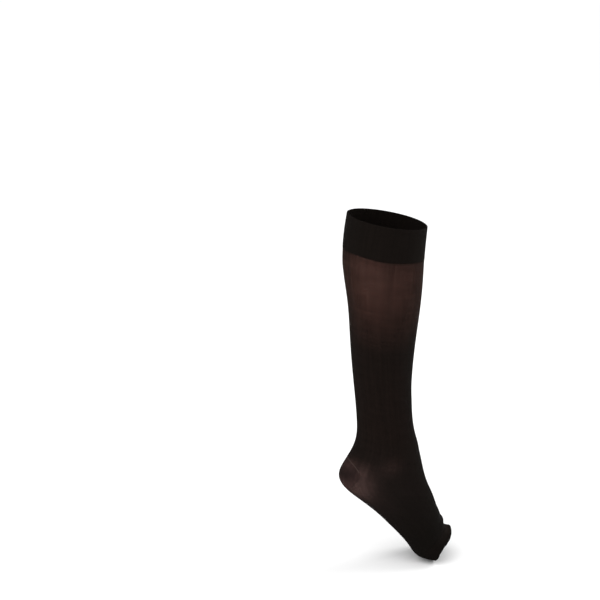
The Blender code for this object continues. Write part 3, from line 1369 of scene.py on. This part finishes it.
@dataclass
class LegAndFoot(KnittedPart):
    """The leg and the foot, knitted in one, with the heel pocket's opening left at the back.

    Its two ends run on for a tuck under the bands.
    """

    inner_face: float = 1.1
    outer_face: float = 1.7
    tuck: float = 1.6
    row: float = 2.3
    creases: tuple[Crease, ...] = (
        Crease(turn=180, station=66, length=80, width=11, height=0.55),
        Crease(turn=0, station=266, length=60, width=18, height=0.65),
        Crease(turn=0, station=326, length=60, width=11, height=1.0),
        Crease(turn=180, station=446, length=74, width=17, height=1.2),
        Crease(turn=4, station=480.5, length=46, width=4.6, height=2.7, slant=4),
    )

    NAME = "leg_and_foot_knit"
    NODES = ("leg", "foot")
    SLOT = "sheer_knit"
    CUT = Cut(0.26, 0.44, 0.0905)
    FINISHES = (CLOSE_KNIT, SHEER_KNIT)

    def build(self) -> bpy.types.Object:
        """Builds the leg and foot as one wall.

        Returns:
            The piece.
        """
        ring = self.ring_turns()
        top = self.form.station_of("band_end") - TopBand.foot_rise.at(ring) - self.tuck
        toe = np.full_like(ring, self.form.station_of("ball") + self.tuck)
        mesh = self.new_mesh()
        leg = mesh.add_points(self.wall(ring, top, self.wedge.upper(ring)))
        foot = mesh.add_points(self.wall(ring, self.wedge.lower(ring), toe), mesh.down_the_cloth(leg[-1]))
        joined = self.wedge.opening(ring) == 0
        foot[0, joined] = leg[-1, joined]
        mesh.add_quads(leg, tube=True)
        mesh.add_quads(foot, tube=True)
        return self.make_piece(mesh)

    def wall(self, turns: Array, start: Array, end: Array) -> Wall:
        """Makes the wall between two seams.

        Args:
            turns: the columns' turns.
            start: the stations of the upper seam.
            end: the stations of the lower seam.

        Returns:
            The wall, as rows of columns.
        """
        rows = math.ceil(float((end - start).max()) / self.row)
        share = np.linspace(0.0, 1.0, rows + 1)[:, None]
        stations = start + share * (end - start)
        relief = self.creased(turns, stations)
        return Wall.between(turns, stations, self.inner_face + relief, self.outer_face + relief)

    def creased(self, turns: Array, stations: Array) -> Array:
        """Adds up the creases.

        Args:
            turns: the points' turns.
            stations: the points' stations.

        Returns:
            How far they move the cloth out at each point, in millimetres.
        """
        girths = [self.form.girth(station) for station in self.form.stations]
        radius = np.interp(stations, self.form.stations, girths) / FULL_TURN
        total = np.zeros_like(stations)
        for crease in self.creases:
            total = total + crease.relief(turns, stations, radius)
        return total


@dataclass
class HeelPocket(KnittedPart):
    """The heel pocket, a closer knit turned back and forth, with its marks along both gores.

    Its edges run a lap under the edges of the leg and the foot, where its outside is at the height
    of under and it is edge thick. The marks leave off where the wedge is less than marked open.
    """

    inner_face: float = 0.8
    outer_face: float = 1.7
    under: float = 1.1
    edge: float = 0.5
    lap: float = 0.9
    row: float = 1.2
    near_rows: tuple[float, ...] = (0.0, 0.8, 1.0, 1.3, 1.8)
    marked: float = 0.3

    NAME = "heel_pocket_knit"
    NODES = ("heel_pocket",)
    SLOT = "heel_knit"
    CUT = Cut(0.088, 0.044, 0.0027)
    FINISHES = (HEEL_KNIT,)
    UPPER_GORE = StitchRow(
        name="upper_gore_marks", kind=StitchKind.DASH, pitch=1.8, length=1.6, width=0.8, height=0.4,
        slant=28.0, spread=0.0, thread=GORE_THREAD,
    )
    LOWER_GORE = StitchRow(
        name="lower_gore_marks", kind=StitchKind.DASH, pitch=2.2, length=1.2, width=0.45, height=0.3,
        slant=-28.0, spread=0.0, thread=GORE_THREAD,
    )

    def build(self) -> bpy.types.Object:
        """Builds the pocket and its gore marks.

        Returns:
            The pocket.
        """
        turns = self.heel_turns()
        upper, lower = self.wedge.upper(turns), self.wedge.lower(turns)
        start = upper - self.form.step_along(turns, upper, self.lap)
        end = lower + self.form.step_along(turns, lower, self.lap)
        depths = close_rows(end - start, self.row, self.near_rows)
        from_edge = np.minimum(depths, end - start - depths)
        clear = smooth(from_edge, self.lap, 2 * self.lap)
        outer = self.under + (self.outer_face - self.under) * clear
        inner = self.under - self.edge + (self.inner_face - self.under + self.edge) * clear
        mesh = self.new_mesh()
        mesh.add_quads(mesh.add_points(Wall.between(turns, start + depths, inner, outer)), tube=False)
        marked = self.wedge.opening(turns) > self.marked
        seams = (
            Seam(row, turns[marked], stations[marked], self.outer_face, closed=False)
            for row, stations in ((self.UPPER_GORE, upper), (self.LOWER_GORE, lower))
        )
        return self.make_piece(mesh, *seams)


@dataclass
class ToeBand(FoldedBand):
    """The doubled band round the open toe, and the stitches that link it to the foot."""

    base: float = 0.3
    fold: float = 0.9
    step: float = 0.5
    row: float = 1.4
    near_rows: tuple[float, ...] = (0.0, 0.2, 0.5, 0.9)
    rim: Ripple = Ripple(
        (
            (-150, 0.4), (-95, -0.9), (-55, 0.8), (-20, 1.2), (25, 1.9), (42, 1.3), (58, -0.3), (74, -2.0),
            (92, -1.6), (112, 0.4), (140, 1.2),
        )
    )

    NAME = "toe_band_knit"
    NODES = ("toe_band",)
    SLOT = "toe_knit"
    CUT = Cut(0.170, 0.038)
    FINISHES = (TOE_KNIT,)
    LINK = StitchRow(
        name="toe_link_stitches", kind=StitchKind.CHAIN, pitch=1.9, length=1.4, width=0.42, height=0.36,
        slant=24.0, spread=0.5, thread=BLACK_THREAD,
    )

    def build(self) -> bpy.types.Object:
        """Builds the band between its uneven rim and the ball of the foot.

        Returns:
            The band.
        """
        ring = self.ring_turns()
        foot = np.full_like(ring, self.form.station_of("ball"))
        return self.knit(self.form.station_of("toe_edge") + self.rim.at(ring), foot)


# ---------------------------------------------------------------------------------------- the stage


@dataclass(frozen=True)
class Viewpoint:
    """The camera: level with the calf from the lateral side, looking a little down.

    The frame's origin is seen at origin_pixel, in an image of image_pixels each way, at a distance
    in metres, where a pixel covers mm_per_pixel.
    """

    distance: float = 3.5
    mm_per_pixel: float = 1.38
    elevation: float = 14.3
    image_pixels: float = 600.0
    origin_pixel: tuple[float, float] = (386.9, 218.5)
    sensor_mm: float = 36.0

    def build(self) -> bpy.types.Object:
        """Places the scene's camera.

        Returns:
            The camera.
        """
        focal_pixels = self.distance / (self.mm_per_pixel * MM)
        tilt = math.radians(self.elevation)
        forward = Vector((0.0, math.cos(tilt), -math.sin(tilt)))
        upward = Vector((0.0, math.sin(tilt), math.cos(tilt)))
        middle = self.image_pixels / 2
        across = (self.origin_pixel[0] - middle) / focal_pixels
        down = (self.origin_pixel[1] - middle) / focal_pixels
        data = bpy.data.cameras.new("camera")
        data.sensor_width = self.sensor_mm
        data.lens = self.sensor_mm * focal_pixels / self.image_pixels
        camera = new_object("camera", data)
        camera.location = -self.distance * (forward + across * Vector((1.0, 0.0, 0.0)) - down * upward)
        camera.rotation_euler = (math.radians(90) - tilt, 0.0, 0.0)
        bpy.context.scene.camera = camera
        return camera


@dataclass(frozen=True)
class Softbox:
    """A large square lamp, in metres and watts, aimed at a point of the stocking."""

    name: str
    place: tuple[float, float, float]
    size: float
    power: float

    AIM = (0.0, 0.0, -0.22)

    def build(self) -> None:
        """Hangs the lamp."""
        data = bpy.data.lights.new(self.name, "AREA")
        data.shape = "SQUARE"
        data.size = self.size
        data.energy = self.power
        hang(data, self.place, self.AIM)


@dataclass(frozen=True)
class Skylight:
    """A soft light that falls the same everywhere, from a direction."""

    towards: tuple[float, float, float] = (-0.45, -0.75, 1.0)
    strength: float = 1.2
    spread: float = 70.0

    def build(self) -> None:
        """Sets the light up."""
        data = bpy.data.lights.new("skylight", "SUN")
        data.energy = self.strength
        data.angle = math.radians(self.spread)
        hang(data, self.towards, (0.0, 0.0, 0.0))


def hang(data: bpy.types.Light, place: Sequence[float], aim: Sequence[float]) -> None:
    """Puts a lamp at a place, turned towards its aim.

    Args:
        data: the lamp.
        place: where it hangs.
        aim: the point that it shines at.
    """
    lamp = new_object(data.name, data)
    lamp.location = place
    lamp.rotation_euler = (Vector(place) - Vector(aim)).to_track_quat("Z", "Y").to_euler()


@dataclass
class Studio:
    """A plain pale floor, a white surround and soft lamps."""

    floor_width: float = 60.0
    floor_colour: Colour = (0.92, 0.92, 0.92)
    surround: float = 0.82
    skylight: Skylight = Skylight()
    softboxes: tuple[Softbox, ...] = (
        Softbox("key", (-0.6, -2.4, 0.9), 1.2, 9.0),
        Softbox("front", (1.7, 1.1, 1.0), 1.4, 26.0),
    )

    def build(self, height: float) -> None:
        """Lays the floor and lights the scene.

        Args:
            height: the floor's height, in metres.
        """
        half = self.floor_width / 2
        corners = [(x * half, y * half, height) for x, y in ((-1, -1), (1, -1), (1, 1), (-1, 1))]
        mesh = bpy.data.meshes.new("floor")
        mesh.from_pydata(corners, [], [(0, 1, 2, 3)])
        mesh.materials.append(self.floor_material())
        new_object("floor", mesh)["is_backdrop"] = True
        world = bpy.data.worlds.new("surround")
        world.use_nodes = True
        sky = {"Color": (1.0, 1.0, 1.0, 1.0), "Strength": self.surround}
        Graph(world.node_tree).fill(world.node_tree.nodes["Background"], sky)
        bpy.context.scene.world = world
        self.skylight.build()
        for softbox in self.softboxes:
            softbox.build()
        bpy.context.scene.view_settings.view_transform = "Standard"

    def floor_material(self) -> bpy.types.Material:
        """Makes the floor's plain pale paint.

        Returns:
            The new material.
        """
        material, graph, surface = new_material("pale_floor")
        paint = {"Base Color": (*self.floor_colour, 1.0), "Roughness": 1.0, "Specular IOR Level": 0.0}
        graph.fill(surface, paint)
        return material


# --------------------------------------------------------------------------------------- the script

# How sheer the knit is along the stocking, partly real and partly painted shade: the side and rear columns,
# which face the lateral view, are the sheerest and the front and back the least, so the knit is painted
# lighter where it faces that view and darker towards its front and back edges. The back just under the top
# band is raised for a painted highlight.
SHEER_AND_SHADE_ZONES = (
    #    station  front  side  rear  back
    Zone(0.0,      0.20, 0.41, 0.73, 0.22),
    Zone(53.0,     0.20, 0.41, 0.73, 0.22),
    Zone(62.0,     0.24, 0.49, 0.88, 0.38),
    Zone(80.0,     0.25, 0.61, 0.97, 0.35),
    Zone(105.0,    0.21, 0.50, 0.79, 0.24),
    Zone(125.0,    0.19, 0.36, 0.53, 0.24),
    Zone(145.0,    0.14, 0.27, 0.28, 0.19),
    Zone(165.0,    0.03, 0.14, 0.16, 0.10),
    Zone(185.0,    0.01, 0.05, 0.06, 0.05),
    Zone(240.0,    0.02, 0.07, 0.07, 0.07),
    Zone(300.0,    0.04, 0.07, 0.08, 0.07),
    Zone(340.0,    0.03, 0.05, 0.06, 0.04),
    Zone(390.0,    0.02, 0.04, 0.10, 0.05),
    Zone(415.0,    0.02, 0.02, 0.07, 0.06),
    Zone(440.0,    0.01, 0.01, 0.02, 0.04),
    Zone(470.0,    0.00, 0.00, 0.00, 0.00),
)

# The ankle bones, and round the heel pocket, on the lateral side: partly knit drawn thin over them
# and partly a painted highlight on the ankle bone and round the heel.
SIDE_SHEER_AND_HIGHLIGHT_SPOTS = (
    Spot(turn=81.0, station=350.0, width=15.0, length=12.0, sheerness=0.145),
    Spot(turn=114.0, station=376.5, width=13.5, length=15.5, sheerness=0.36),
    Spot(turn=121.0, station=358.5, width=10.0, length=9.0, sheerness=0.31),
    Spot(turn=135.0, station=387.0, width=18.0, length=15.0, sheerness=0.54),
    Spot(turn=155.0, station=350.5, width=24.5, length=9.0, sheerness=0.45),
)
SHEER_AND_HIGHLIGHT_SPOTS = (
    *SIDE_SHEER_AND_HIGHLIGHT_SPOTS,
    *(replace(spot, turn=-spot.turn) for spot in SIDE_SHEER_AND_HIGHLIGHT_SPOTS),
    # Under the back of the heel: partly knit drawn thin and partly a painted highlight.
    Spot(turn=180.0, station=378.0, width=40.0, length=8.5, sheerness=0.75),
    # A painted highlight on the toe band's top edge, where it is pushed into a crumple.
    Spot(turn=5.0, station=500.0, width=28.0, length=7.5, sheerness=0.45),
)


def check_form(form: Form, nodes: Sequence[str]) -> None:
    """Stops the script if the form isn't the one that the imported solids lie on.

    Args:
        form: the stocking's form.
        nodes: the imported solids' names.

    Raises:
        RuntimeError: if the solids lie inside the form or far outside it.
    """
    stations = np.arange(0.0, form.stations[-1], Form.STATION_STEP)
    grid = np.meshgrid(np.linspace(-math.pi, math.pi, Form.GIRTH_POINTS), [*stations, form.stations[-1]])
    surface = form.points(*grid).reshape(-1, 3)
    boxes = np.array([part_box(name) for name in nodes]) / MM
    below = surface.min(axis=0) - boxes[:, 0].min(axis=0)
    above = boxes[:, 1].max(axis=0) - surface.max(axis=0)
    over = np.concatenate([below, above])
    log.info("the packed walls stand %.2f to %.2f mm outside the form", over.min(), over.max())
    if over.min() < -FRAME_TOLERANCE or over.max() > THICKEST_WALL + FRAME_TOLERANCE:
        raise RuntimeError("the form isn't the one that the packed solids lie on")


def main() -> None:
    """Builds the dressed stocking and its studio."""
    logging.basicConfig(level=logging.INFO, format="%(message)s")
    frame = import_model()
    cad_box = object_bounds()
    Viewpoint().build()

    form = Form(SECTIONS)
    check_form(form, list(frame["nodes"]))
    wedge = HeelWedge(form)
    sheerness = Sheerness(SHEER_AND_SHADE_ZONES, SHEER_AND_HIGHLIGHT_SPOTS)
    groups = ShaderGroups()
    for kind in (TopBand, LegAndFoot, HeelPocket, ToeBand):
        kind(form, wedge, sheerness, groups).build()
    lowest = min(float(cad_box[0][2]), float(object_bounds()[0][2]))
    Studio().build(height=lowest)


if __name__ == "__main__":
    main()
